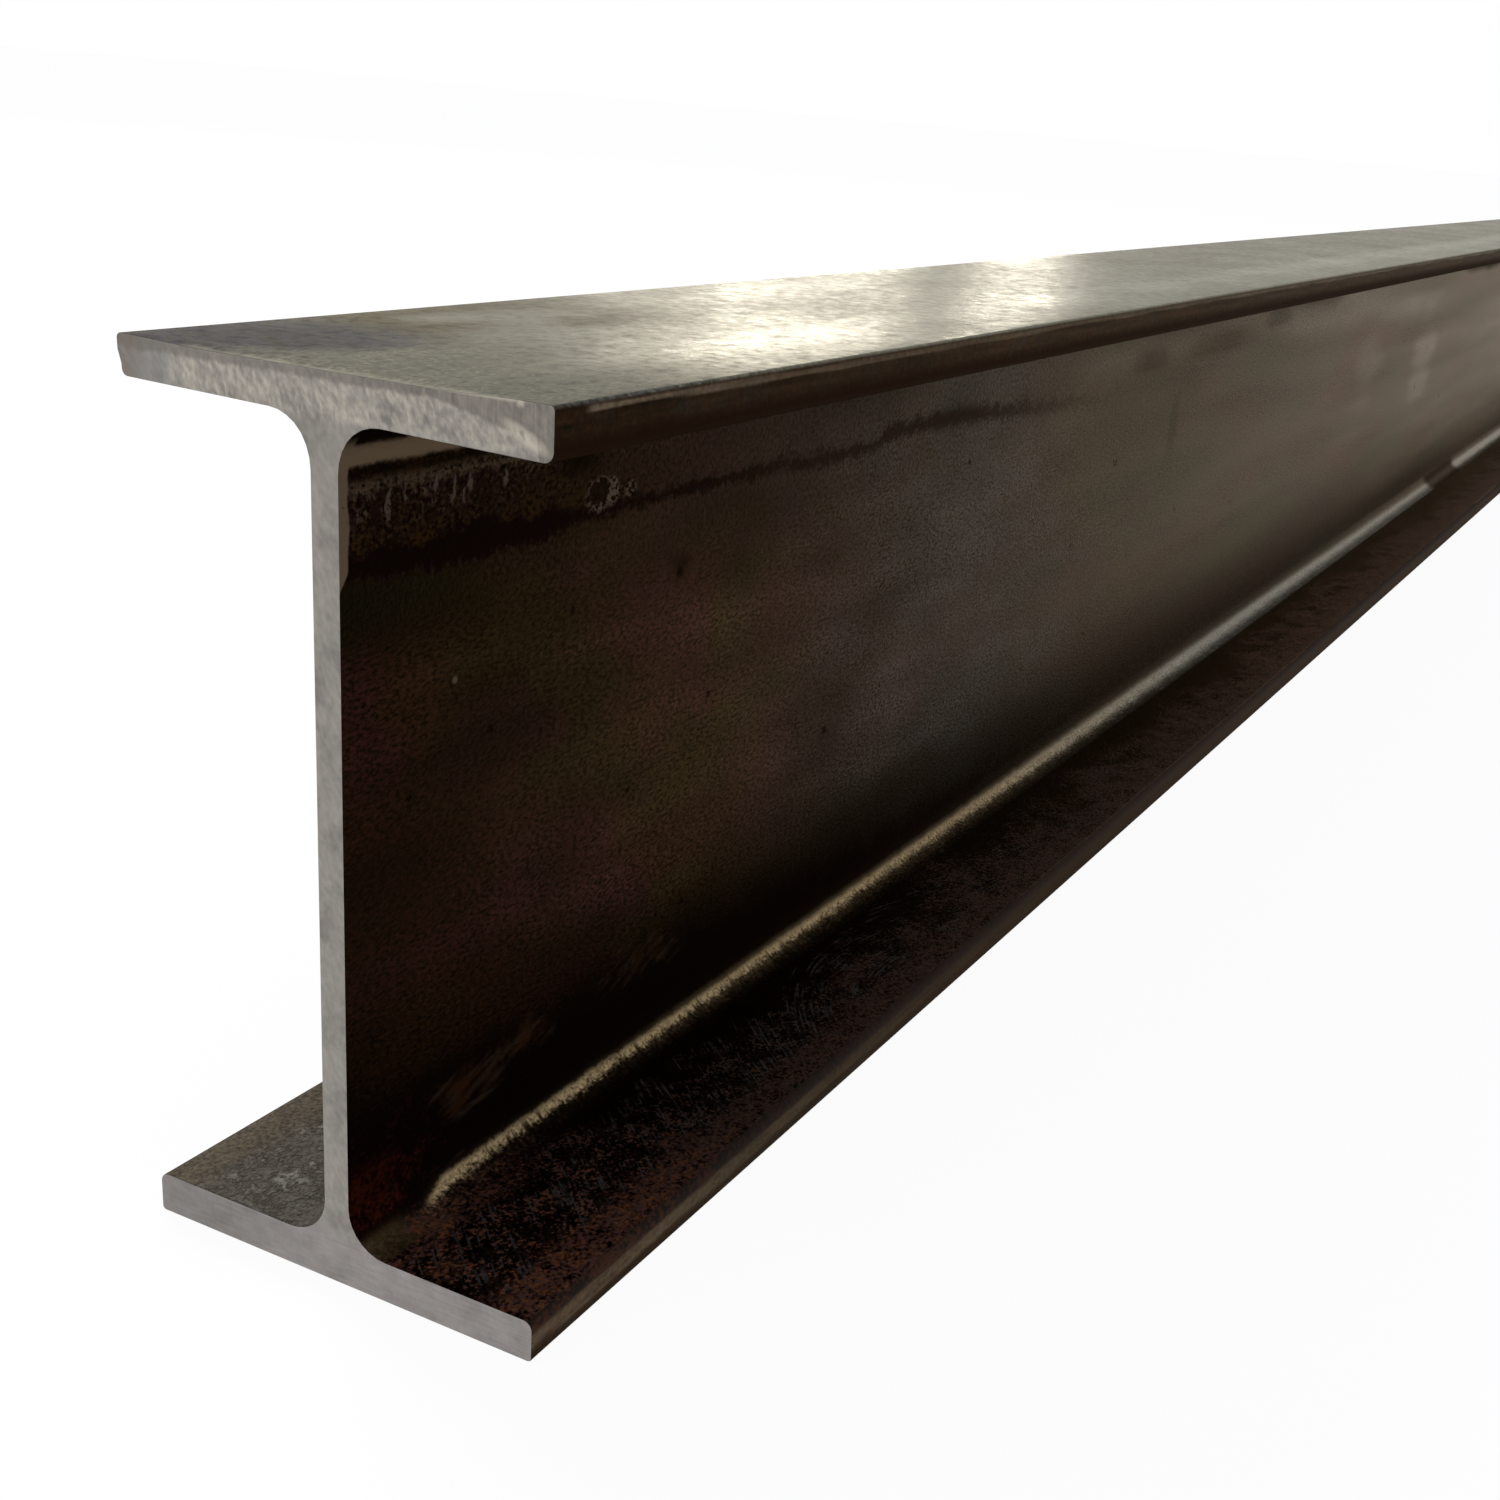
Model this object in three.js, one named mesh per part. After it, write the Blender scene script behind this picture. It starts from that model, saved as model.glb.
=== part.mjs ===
// Hot-rolled steel I-beam, a cut length of parallel-flange section with sawn ends.
// Millimetres. +X runs along the beam, +Y across the flanges, +Z up through the web.
// The origin is on the underside of the bottom flange, at mid length and mid width.
import * as THREE from "three";

// ---- driving dimensions ----
const beamLength = 2000; // sawn face to sawn face
const sectionHeight = 140; // over the two flanges
const flangeWidth = 73; // toe to toe
const webThickness = 4.7;
const flangeThickness = 6.9; // even from web to toe: the flanges have no taper
const rootRadius = 7; // where the web runs into a flange
const toeInnerRadius = 1.6; // toe corner on the web's side, rounded by the rolls
const toeOuterRadius = 0.7; // toe corner on the outer side, nearly sharp

// ---- fineness of the round stretches ----
const stepsPerHalfTurn = 16;

// One quarter turn or less of the outline, from one angle to another, as points.
// A negative sweep runs clockwise, into the solid's hollow side.
function arcPoints(centreY, centreZ, radius, startDegrees, sweepDegrees) {
  const steps = Math.max(2, Math.round((stepsPerHalfTurn * Math.abs(sweepDegrees)) / 180));
  return Array.from({ length: steps + 1 }, (_, step) => {
    const angle = THREE.MathUtils.degToRad(startDegrees + (sweepDegrees * step) / steps);
    return new THREE.Vector2(
      centreY + radius * Math.cos(angle),
      centreZ + radius * Math.sin(angle),
    );
  });
}

// The quarter of the section from the underside's middle, round the toe of the bottom
// flange and its root fillet, to the web at half height.
function quarterOutline() {
  const toeFace = flangeWidth / 2;
  const webFace = webThickness / 2;
  return [
    ...arcPoints(toeFace - toeOuterRadius, toeOuterRadius, toeOuterRadius, -90, 90),
    ...arcPoints(toeFace - toeInnerRadius, flangeThickness - toeInnerRadius, toeInnerRadius, 0, 90),
    ...arcPoints(webFace + rootRadius, flangeThickness + rootRadius, rootRadius, -90, -90),
  ];
}

// The section is the same quarter four times: each mirroring turns the order round,
// so that the outline stays one anticlockwise loop.
function sectionShape() {
  const lowerRight = quarterOutline();
  const upperRight = lowerRight
    .map((point) => new THREE.Vector2(point.x, sectionHeight - point.y))
    .reverse();
  const rightHalf = [...lowerRight, ...upperRight];
  const leftHalf = rightHalf.map((point) => new THREE.Vector2(-point.x, point.y)).reverse();
  return new THREE.Shape([...rightHalf, ...leftHalf]);
}

// Rolls the section out along the beam. An extrusion grows along its own +Z, so its
// axes (across, up, along) are handed on to (Y, Z, X).
function rolledLength() {
  const bar = new THREE.ExtrudeGeometry(sectionShape(), { depth: beamLength, bevelEnabled: false });
  const acrossUpAlong = new THREE.Matrix4().makeBasis(
    new THREE.Vector3(0, 1, 0),
    new THREE.Vector3(0, 0, 1),
    new THREE.Vector3(1, 0, 0),
  );
  return bar.applyMatrix4(acrossUpAlong);
}

// ---- finishes: bare saw-cut steel on the ends, dark mill scale on the rolled faces ----
const sawnSteel = new THREE.MeshStandardMaterial({
  name: "sawn_steel",
  color: 0x8a8580,
  roughness: 0.45,
  metalness: 0.9,
});
const millScale = new THREE.MeshStandardMaterial({
  name: "mill_scale",
  color: 0x4b443b,
  roughness: 0.6,
  metalness: 0.55,
});

const beam = new THREE.Mesh(rolledLength(), [sawnSteel, millScale]);
beam.name = "i_beam";
beam.position.x = -beamLength / 2;

const part = new THREE.Group();
part.name = "steel_i_beam";
part.add(beam);

export default part;
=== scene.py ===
import math
import bpy
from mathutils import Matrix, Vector


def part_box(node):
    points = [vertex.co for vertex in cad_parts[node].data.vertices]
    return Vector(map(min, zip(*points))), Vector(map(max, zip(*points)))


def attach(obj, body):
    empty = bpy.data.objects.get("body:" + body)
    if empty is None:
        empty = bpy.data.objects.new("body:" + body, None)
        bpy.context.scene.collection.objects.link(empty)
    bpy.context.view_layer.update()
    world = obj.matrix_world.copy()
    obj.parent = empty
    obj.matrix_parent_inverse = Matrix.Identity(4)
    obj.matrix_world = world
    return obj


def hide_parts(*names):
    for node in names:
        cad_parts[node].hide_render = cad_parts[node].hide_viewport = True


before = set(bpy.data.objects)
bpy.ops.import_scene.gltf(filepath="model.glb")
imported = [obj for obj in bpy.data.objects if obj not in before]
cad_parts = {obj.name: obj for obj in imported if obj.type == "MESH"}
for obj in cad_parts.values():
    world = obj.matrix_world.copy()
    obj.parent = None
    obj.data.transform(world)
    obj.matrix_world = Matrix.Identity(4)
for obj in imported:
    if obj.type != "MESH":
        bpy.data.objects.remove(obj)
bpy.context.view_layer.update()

# ============================================================================
# The rolled beam. One hot-rolled steel bar: two parallel flanges and a web, which
# the mill's rolls leave with soft root fillets and toes under a skin of dark scale,
# and which a saw cuts square at both ends.
# ============================================================================


class Wire:
    """A node's output that can be used in Python arithmetic. Each operator adds a Math node."""

    def __init__(self, graph, socket):
        self.graph = graph
        self.socket = socket

    def __add__(self, other):
        return self.graph.math("ADD", self, other)

    def __sub__(self, other):
        return self.graph.math("SUBTRACT", self, other)

    def __rsub__(self, other):
        return self.graph.math("SUBTRACT", other, self)

    def __mul__(self, other):
        return self.graph.math("MULTIPLY", self, other)

    def __truediv__(self, other):
        return self.graph.math("DIVIDE", self, other)

    def __gt__(self, other):
        return self.graph.math("GREATER_THAN", self, other)

    def __lt__(self, other):
        return self.graph.math("LESS_THAN", self, other)

    def __abs__(self):
        return self.graph.math("ABSOLUTE", self)

    __radd__ = __add__
    __rmul__ = __mul__


class Graph:
    """The node tree of a material or of Geometry Nodes, written as expressions."""

    def __init__(self, tree):
        self.tree = tree

    def node(self, kind, settings=None, sockets=None, output=0):
        """Adds a node: its settings first, then the values or links of its sockets, by name or number."""
        made = self.tree.nodes.new(kind)
        for name, value in (settings or {}).items():
            setattr(made, name, value)
        for name, value in (sockets or {}).items():
            if isinstance(value, Wire):
                self.tree.links.new(value.socket, made.inputs[name])
            else:
                made.inputs[name].default_value = value
        return Wire(self, made.outputs[output])

    def math(self, operation, *operands):
        return self.node("ShaderNodeMath", {"operation": operation}, dict(enumerate(operands)))

    def vector(self, operation, *operands, output=0):
        return self.node("ShaderNodeVectorMath", {"operation": operation}, dict(enumerate(operands)), output)

    def scaled(self, vector, factor):
        return self.node("ShaderNodeVectorMath", {"operation": "SCALE"}, {0: vector, "Scale": factor})

    def axis(self, vector, name):
        return self.node("ShaderNodeSeparateXYZ", None, {"Vector": vector}, name)

    def combine(self, **axes):
        return self.node("ShaderNodeCombineXYZ", None, axes)

    def turned(self, vector, axis, angle, centre=(0, 0, 0)):
        sockets = {"Vector": vector, "Center": centre, "Angle": angle}
        return self.node("ShaderNodeVectorRotate", {"rotation_type": axis + "_AXIS"}, sockets)

    def larger(self, first, second):
        return self.math("MAXIMUM", first, second)

    def step(self, value, low, high):
        """0 at low and 1 at high, with a smooth change between; low may be the larger."""
        return self.node(
            "ShaderNodeMapRange",
            {"interpolation_type": "SMOOTHSTEP"},
            {"Value": value, "From Min": low, "From Max": high},
        )

    def band(self, value, low, high, soft):
        """1 between low and high, and 0 past them, with edges about soft wide."""
        return self.step(value, low - soft, low + soft) * self.step(value, high + soft, high - soft)

    def noise(self, place, size, detail=2.0, roughness=0.5, pull=None):
        """Noise from 0 to 1 with lumps about size metres across. Pull multiplies the place axis by axis, so
        that the lumps are drawn out where it is below 1."""
        if pull:
            place = self.vector("MULTIPLY", place, pull)
        sockets = {"Vector": place, "Scale": 1 / size, "Detail": detail, "Roughness": roughness}
        return self.node("ShaderNodeTexNoise", None, sockets)

    def ripple(self, place, size, detail=2.0, roughness=0.5, pull=None):
        """The same noise, from -0.5 to 0.5."""
        return self.noise(place, size, detail, roughness, pull) - 0.5

    def mix(self, factor, first, second):
        """The colour that runs from first to second as factor goes from 0 to 1."""
        ends = [c if isinstance(c, Wire) else (*c, 1) for c in (first, second)]
        sockets = {"Factor": factor, 6: ends[0], 7: ends[1]}  # the node's colour sockets, by number
        return self.node("ShaderNodeMix", {"data_type": "RGBA"}, sockets, 2)


mm = 0.001

# sizes in metres; the beam's length, depth and width come from the frame
beam_low, beam_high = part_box("i_beam")
beam_length = beam_high[0] - beam_low[0]
section_height = beam_high[2] - beam_low[2]
flange_width = beam_high[1] - beam_low[1]
near_cut = beam_low[0]
web_thickness = 4.7 * mm
flange_thickness = 6.9 * mm
root_radius = 7 * mm
toe_inner_radius = 1.6 * mm
toe_outer_radius = 0.7 * mm
arris_width = 0.15 * mm  # the saw leaves each cut edge this blunt

# how finely the skin is divided
point_spacing = 4.5 * mm
toe_point_spacing = 1.6 * mm
corner_points = 7
ring_count = 430
end_fineness = 0.8

# how near a face counts as on it, how squarely a cut faces along the beam, and the least angles of the
# folds that stay crisp and of those that the saw blunts
touching = 0.1 * mm
cut_facing = 0.7
crisp_fold = math.radians(35)
blunted_fold = math.radians(60)


def section_wire():
    """The square-cornered outline as a loop of edges, with the radius that each corner is rounded to.

    It is drawn half a turn round, because a profile swept along +X comes out turned by that much."""
    toe, web = flange_width / 2, web_thickness / 2
    lower = [
        (toe, 0, toe_outer_radius),
        (toe, flange_thickness, toe_inner_radius),
        (web, flange_thickness, root_radius),
    ]
    right = lower + [(y, section_height - z, radius) for y, z, radius in reversed(lower)]
    corners = right + [(-y, z, radius) for y, z, radius in reversed(right)]
    wire = bpy.data.meshes.new("section_wire")
    count = len(corners)
    wire.from_pydata([(-y, -z, 0) for y, z, _ in corners], [(i, (i + 1) % count) for i in range(count)], [])
    radii = wire.attributes.new("corner_radius", "FLOAT", "POINT")
    radii.data.foreach_set("value", [radius for _, _, radius in corners])
    return wire


def group_with_inputs(name, result_name, sizes):
    """A Geometry Nodes group with a geometry in and out and the named sizes, and its inputs as wires."""
    tree = bpy.data.node_groups.new(name, "GeometryNodeTree")
    tree.interface.new_socket("Geometry", in_out="INPUT", socket_type="NodeSocketGeometry")
    tree.interface.new_socket(result_name, in_out="OUTPUT", socket_type="NodeSocketGeometry")
    for size_name, value in sizes.items():
        kind = "NodeSocketInt" if isinstance(value, int) else "NodeSocketFloat"
        tree.interface.new_socket(size_name, in_out="INPUT", socket_type=kind)
    graph = Graph(tree)
    entry = tree.nodes.new("NodeGroupInput")
    return graph, {socket.name: Wire(graph, socket) for socket in entry.outputs if socket.name}


def finish_group(graph, geometry):
    result = graph.tree.nodes.new("NodeGroupOutput")
    graph.tree.links.new(geometry.socket, result.inputs[0])


def grown(name, base_mesh, graph, sizes, modifiers=()):
    """Runs a group on a mesh with its sizes set, and returns the result as a plain object."""
    base = bpy.data.objects.new(name + "_base", base_mesh)
    bpy.context.scene.collection.objects.link(base)
    growth = base.modifiers.new("growth", "NODES")
    growth.node_group = graph.tree
    for item in graph.tree.interface.items_tree:
        if item.in_out == "INPUT" and item.name in sizes:
            growth[item.identifier] = sizes[item.name]
    for kind, settings in modifiers:
        modifier = base.modifiers.new(kind.lower(), kind)
        for setting, value in settings.items():
            setattr(modifier, setting, value)
    evaluated = base.evaluated_get(bpy.context.evaluated_depsgraph_get())
    mesh = bpy.data.meshes.new_from_object(evaluated)
    mesh.name = name
    bpy.data.objects.remove(base)
    made = bpy.data.objects.new(name, mesh)
    bpy.context.scene.collection.objects.link(made)
    return made


def rounded_section(g, wire, spacing, toe_spacing):
    """The outline with its corners rounded and its straight stretches divided, most finely at the toes."""
    radius = g.node("GeometryNodeInputNamedAttribute", {"data_type": "FLOAT"}, {"Name": "corner_radius"})
    section = g.node("GeometryNodeMeshToCurve", None, {"Mesh": wire})
    section = g.node(
        "GeometryNodeFilletCurve",
        {"mode": "POLY"},
        {"Curve": section, "Count": corner_points, "Radius": radius, "Limit Radius": True},
    )
    here = g.node("GeometryNodeInputPosition")
    following = g.node("GeometryNodeOffsetPointInCurve", None, {"Offset": 1}, "Point Index")
    sockets = {"Value": here, "Index": following}
    there = g.node("GeometryNodeFieldAtIndex", {"data_type": "FLOAT_VECTOR"}, sockets)
    stretch = g.vector("DISTANCE", here, there, output="Value")
    at_toe = abs(g.axis(here, "X") + g.axis(there, "X")) > flange_width - touching
    cuts = stretch / spacing + at_toe * (stretch / toe_spacing - stretch / spacing)
    return g.node("GeometryNodeSubdivideCurve", None, {"Curve": section, "Cuts": cuts})


class SkinPlace:
    """Where a point of the beam's skin lies: its distances in metres, and 1 on each of the faces."""

    def __init__(self, graph, place):
        self.graph = graph
        self.x, self.y, self.z = (graph.axis(place, name) for name in "XYZ")
        self.from_saw = self.x - near_cut
        self.aside = abs(self.y)
        self.front = graph.step(self.y, 0.2 * mm, -0.2 * mm)
        self.on_web = graph.step(self.aside, web_thickness / 2 + 1.5 * mm, web_thickness / 2 + 0.3 * mm)
        self.near_web = graph.step(self.aside, 7.5 * mm, 6.5 * mm)
        self.on_top = graph.step(self.z, section_height - 0.7 * mm, section_height - 0.2 * mm)
        toe = flange_width / 2
        self.on_toe = graph.step(self.aside, toe - 1.9 * mm, toe - 1.5 * mm) * (1 - self.on_top)
        self.on_ledge = graph.band(self.z, flange_thickness - 0.9 * mm, flange_thickness + 1.2 * mm, 0.5 * mm)

    def along(self, low, high):
        """0 at low and 1 at high, both in millimetres from the near cut."""
        return self.graph.step(self.from_saw, low * mm, high * mm)

    def stretch(self, low, high, soft):
        """1 between two distances from the near cut, with edges about soft wide, all in millimetres."""
        return self.graph.band(self.from_saw, low * mm, high * mm, soft * mm)

    def height(self, low, high):
        """0 at low and 1 at high, both in millimetres above the floor."""
        return self.graph.step(self.z, low * mm, high * mm)

    def layer(self, low, high, soft):
        """1 between two heights above the floor, with edges about soft wide, all in millimetres."""
        return self.graph.band(self.z, low * mm, high * mm, soft * mm)


# mill scale's colours, as it reflects them
scale_brown = (0.0108, 0.0050, 0.0029)
scale_olive = (0.0086, 0.0062, 0.0022)
scale_ash = (0.0046, 0.0020, 0.0032)
scale_tan = (0.0160, 0.0072, 0.0020)
scale_plum = (0.0122, 0.0042, 0.0046)
scale_umber = (0.0105, 0.0019, 0.0016)
scale_moss = (0.0015, 0.0022, 0.0005)
scale_slate = (0.0420, 0.0372, 0.0332)
slate_green = (0.0370, 0.0385, 0.0290)
slate_brown = (0.0480, 0.0360, 0.0290)
slate_cool = (0.0365, 0.0365, 0.0385)
slate_plum = (0.0440, 0.0300, 0.0325)
scale_pale = (0.1100, 0.1000, 0.0860)
dusty_slate = (0.0420, 0.0380, 0.0330)
scale_black = (0.0014, 0.0007, 0.0004)
stain_brown = (0.0090, 0.0050, 0.0022)
# matt black that soot mixes in, for black marks and for painted shade
soot_black = (0.0032, 0.0009, 0.0006)
rust_red = (0.0420, 0.0074, 0.0032)
rust_brown = (0.0210, 0.0080, 0.0045)
dusty_grey = (0.031, 0.030, 0.026)
dusty_brown = (0.036, 0.0295, 0.0200)
top_grey = (0.066, 0.064, 0.056)
top_pale = (0.100, 0.099, 0.086)
top_dun = (0.064, 0.058, 0.048)
slate_blue = (0.025, 0.023, 0.038)
top_brown = (0.030, 0.022, 0.014)

# marks on the front of the web: distance from the near cut, height above the floor, half length and half
# height, all in millimetres, and strength
dark_marks = [
    (206, 112.8, 16, 2.4, 0.6),
    (346, 115, 22, 5, 0.34),
    (378, 92, 7, 14, 0.30),
    (425, 115, 45, 6, 0.33),
    (492, 119, 24, 5, 0.38),
    (560, 121, 50, 4.5, 0.40),
    (965, 128, 130, 9, 0.7),
    (88, 97.5, 5, 2.6, 0.55),
    (152, 51, 6, 3, 0.35),
    (25, 19, 16, 4.5, 1.0),
]
light_marks = [
    (30, 21.5, 11, 5, 1.0),
    (43, 23.6, 10, 4, 0.9),
    (80, 25, 18, 4.5, 0.7),
    (23, 10.8, 6, 1.2, 0.6),
]

# patches of hue on the web, in the same form
plum_marks = [
    (80, 91, 19, 10, 0.8),
    (141, 84, 26, 13, 0.85),
    (136, 60, 16, 8, 0.6),
    (44, 56, 26, 12, 0.55),
]
olive_marks = [
    (34, 101, 15, 10, 0.9),
    (107, 82, 11, 14, 0.8),
    (84, 60, 18, 8, 0.6),
    (225, 90, 40, 22, 0.5),
]
far_plum_marks = [
    (157, 70, 18, 8, 0.7),
    (187, 53, 24, 9, 0.8),
    (232, 57, 20, 7, 0.5),
    (298, 57, 34, 9, 0.7),
]
far_green_marks = [
    (323, 82, 30, 14, 0.7),
    (354, 98, 40, 16, 0.8),
]
pale_marks = [
    (600, 119.5, 250, 3.6, 0.55),
    (640, 112, 150, 4, 0.5),
    (797, 82, 30, 22, 0.6),
    (665, 87, 30, 16, 0.4),
]

# the band of torn scale under the top flange: its heights, and where it gives way to sound scale
crust_low = 112.5 * mm
crust_high = 124.3 * mm
crust_whole = 24 * mm
crust_end = 110 * mm

# the patches of hue all over the skin: how large they are, and how far they are drawn out along the beam
patch_size = 19 * mm
patch_pull = (0.55, 1, 1)


def marks_on_web(g, at, marks, rag=0):
    """The strongest of a list of soft-edged oval marks, their edges moved by a rag."""
    total = 0
    for *oval, strength in marks:
        along, up, half_length, half_height = (size * mm for size in oval)
        sideways = (at.from_saw - along) / half_length
        upward = (at.z - up) / half_height
        mark = g.step(sideways * sideways + upward * upward + rag, 1.6, 0.1) * strength
        total = g.larger(mark, total)
    return total * at.front * g.step(at.aside, 6 * mm, 5 * mm)


def near_hues(g, at, patch, rag):
    """The web's colour beside the near cut: brown scale with patches of olive, plum, umber, ash and tan."""
    in_front = at.on_web * at.front
    colour = g.mix(g.step(patch[0], 0.45, 0.55) * 0.75, scale_brown, scale_olive)
    colour = g.mix(g.step(patch[1], 0.50, 0.58) * 0.8, colour, scale_plum)
    colour = g.mix(marks_on_web(g, at, olive_marks, rag), colour, scale_olive)
    reddened = g.larger(at.along(42, 5), g.step(at.from_saw + at.z, 110 * mm, 60 * mm))
    colour = g.mix(reddened * 0.5 * in_front, colour, scale_umber)
    colour = g.mix(marks_on_web(g, at, plum_marks, rag), colour, scale_plum)
    ashen = at.height(92, 110) * at.along(45, 90)
    colour = g.mix(ashen * 0.7 * in_front, colour, scale_ash)
    tanned = at.layer(30, 45, 6) * at.along(42, 16)
    colour = g.mix(tanned * 0.8 * in_front, colour, scale_tan)

    # lighter away from the saw, as painted light, and lighter still halfway up and in the upper corner
    centre = at.layer(44, 82, 14) * at.stretch(45, 115, 20)
    corner = at.layer(82, 101, 5) * at.along(36, 16)
    return g.scaled(colour, 1.75 + at.along(20, 95) * 0.95 + centre * 0.5 + corner * 0.95)


def far_hues(g, at, here):
    """The web's colour further on: slate, cooler at first, and paler with distance as painted light."""
    tone = g.noise(here, 17 * mm, 1.5, pull=(0.12, 1, 1))
    slate = g.mix(g.step(tone, 0.50, 0.62), scale_slate, slate_green)
    slate = g.mix(g.step(tone, 0.40, 0.54), slate_brown, slate)
    slate = g.mix(at.along(330, 200) * 0.9, slate, slate_cool)
    return g.scaled(slate, 1 + at.along(260, 640) * 0.95)


def web_looks(g, at, here, patch, rag):
    """The web's colour, its roughness, how dusty and how matt it is."""
    in_front = at.on_web * at.front
    far_on = at.along(150, 380)
    drawn = g.ripple(here, 13 * mm, 2.5, pull=(0.06, 1, 1))
    streak = g.ripple(here, 6 * mm, 1.0, pull=(0.16, 1, 1))
    broad = (patch[3] - 0.5) * (1 - far_on) + drawn * far_on
    pale = marks_on_web(g, at, pale_marks, drawn * 5)

    colour = g.mix(at.along(85, 235), near_hues(g, at, patch, rag), far_hues(g, at, here))
    colour = g.mix(marks_on_web(g, at, far_plum_marks, rag), colour, slate_plum)
    colour = g.mix(marks_on_web(g, at, far_green_marks, rag), colour, slate_green)
    colour = g.mix((1 - at.front) * 0.7, colour, dusty_slate)

    # painted shade: darker near the cut and low down, and greenish black in the near upper corner
    painted_end_shade = at.along(110, -10) * 0.42
    under = at.height(42, 24) * 0.82
    under = under + far_on * (at.height(60, 14) * 0.62 - under)
    colour = g.scaled(colour, (1 - in_front * painted_end_shade) * (1 - under * at.front))
    moss = g.step(at.from_saw + (patch[2] - 0.5) * 40 * mm, 44 * mm, 12 * mm) * at.layer(102, 114, 4)
    colour = g.mix(moss * in_front, colour, scale_moss)
    colour = g.scaled(colour, 1 + broad * 1.2 + drawn * 0.4 + streak * (1 - far_on) * 1.1)
    colour = g.mix(pale, colour, scale_pale)

    roughness = 0.46 + broad * 0.2 - at.along(450, 900) * 0.05
    dust = at.along(50, 380) * 0.12 + pale * 0.2
    # matt mixes in black: more near the cut and, far on, low down, where it deepens the painted shade
    matt = 0.18 + at.along(330, 110) * 0.17 + drawn * far_on * 0.5 - pale * 0.3
    mottled = (patch[0] - 0.5) * 0.5 - streak * 0.3
    matt = matt + at.along(250, 400) * 0.03 + mottled * (1 - far_on)
    matt = g.larger(matt + far_on * under * 0.30, 0) * at.front
    return colour, roughness, dust, matt


def top_looks(g, at, patch):
    """The top's colour and roughness: smoother in one band, with painted shade in blue-grey and brown beside
    the near cut.
    """
    near = at.along(60, 8)
    # painted shade beside the near cut: blue-grey nearest it, then brown
    beside = g.step(at.y + (patch[1] - 0.5) * 70 * mm, 6 * mm, 22 * mm) * at.along(120, 70)
    painted_shade_hue = g.mix(at.along(26, 46), slate_blue, top_brown)
    colour = g.mix(g.larger(beside * 0.9, near * 0.2), top_grey, painted_shade_hue)
    far_top = g.mix(g.step(at.y + (patch[2] - 0.5) * 16 * mm, -8 * mm, -18 * mm), top_dun, top_pale)
    colour = g.mix(at.along(260, 420) * 0.8, colour, far_top)
    polish = g.band(at.y, -24 * mm, -12 * mm, 5 * mm)
    roughness = 0.39 - polish * 0.05 + near * 0.2 + beside * 0.12 + (patch[0] - 0.5) * 0.16
    return colour, roughness


def ledge_colour(g, at, patch, outward):
    """The ledges' colour: black, then rusty towards the toe in front, and dusty behind."""
    front_ledge = g.mix(outward, scale_black, rust_brown)
    earthy = g.step(at.aside + (patch[3] - 0.5) * 16 * mm, 25 * mm, 29 * mm)
    back_ledge = g.mix(earthy, dusty_grey, dusty_brown)
    return g.mix(at.front, back_ledge, front_ledge)


def scale_looks(g, here):
    """What the scale looks like from place to place, all that is broader than its grain, as vectors: its
    colour; its roughness, metal and how matt it is; its dark marks, light marks and rust; how torn it is."""
    at = SkinPlace(g, here)
    long_place = g.vector("MULTIPLY", here, patch_pull)
    patch = [g.noise(g.vector("ADD", long_place, (0.37 * i, 0, 0.19 * i)), patch_size) for i in range(4)]
    rag = (patch[3] - 0.5) * 4

    colour, roughness, dust, matt = web_looks(g, at, here, patch, rag)
    top_colour, top_roughness = top_looks(g, at, patch)
    colour = g.mix(at.on_top, colour, top_colour)
    roughness = roughness + at.on_top * (top_roughness - roughness)
    outward = g.step(at.aside + (patch[3] - 0.5) * 30 * mm, 9 * mm, 24 * mm)
    outward = g.larger(outward, at.along(62, 22) * 0.9)
    colour = g.mix(at.on_ledge, colour, ledge_colour(g, at, patch, outward))
    dusty = at.on_ledge * (1 - at.front)
    roughness = roughness + dusty * 0.15
    metal = 1 - dusty * 0.35 - dust * (1 - at.on_top) * (1 - at.on_ledge)

    # torn under the top flange, rusty low down and in front, and brushed bare on the front ledge
    torn_behind = g.step(g.noise(here, 90 * mm, 0, pull=(1, 0, 0)), 0.5, 0.7) * 0.7
    torn_in_front = g.step(at.from_saw, crust_end, crust_whole)
    torn = torn_behind + at.front * (torn_in_front - torn_behind)
    rust = at.along(32, 2) * at.layer(9, 23, 8) * at.front
    rust = g.larger(rust, outward * at.on_ledge * at.front)
    brushed = g.noise(here, 9 * mm, 0, pull=(0.7, 1, 0)) + at.along(320, 60) * 0.22
    brushed = g.step(brushed, 0.50, 0.64) * g.band(at.aside, 12 * mm, 28 * mm, 3 * mm)
    light = g.larger(marks_on_web(g, at, light_marks), brushed * at.front * at.on_ledge)
    return {
        "scale_colour": colour,
        "scale_state": g.combine(X=roughness, Y=metal, Z=matt),
        "scale_marks": g.combine(X=marks_on_web(g, at, dark_marks, rag * 0.4), Y=light, Z=rust),
        "scale_tears": g.combine(X=torn),
    }


# a knock that broke the toe of the top flange at the near cut: its place, reach and depth
nick_place = (near_cut, flange_width / 2, section_height - 4.3 * mm)
nick_reach = 2.4 * mm
nick_depth = 0.9 * mm

# the rolls left the top flange's underside out of true: it rises towards its back toe
flange_slope = 0.0205
flange_lift = 0.35 * mm

# the saw's top arris is worn round
worn_reach = 3 * mm
worn_depth = 0.45 * mm

# the height from which the web has the torn finish, and up to which it has the lower root's
torn_from = 104 * mm
rubbed_to = 17 * mm


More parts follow.
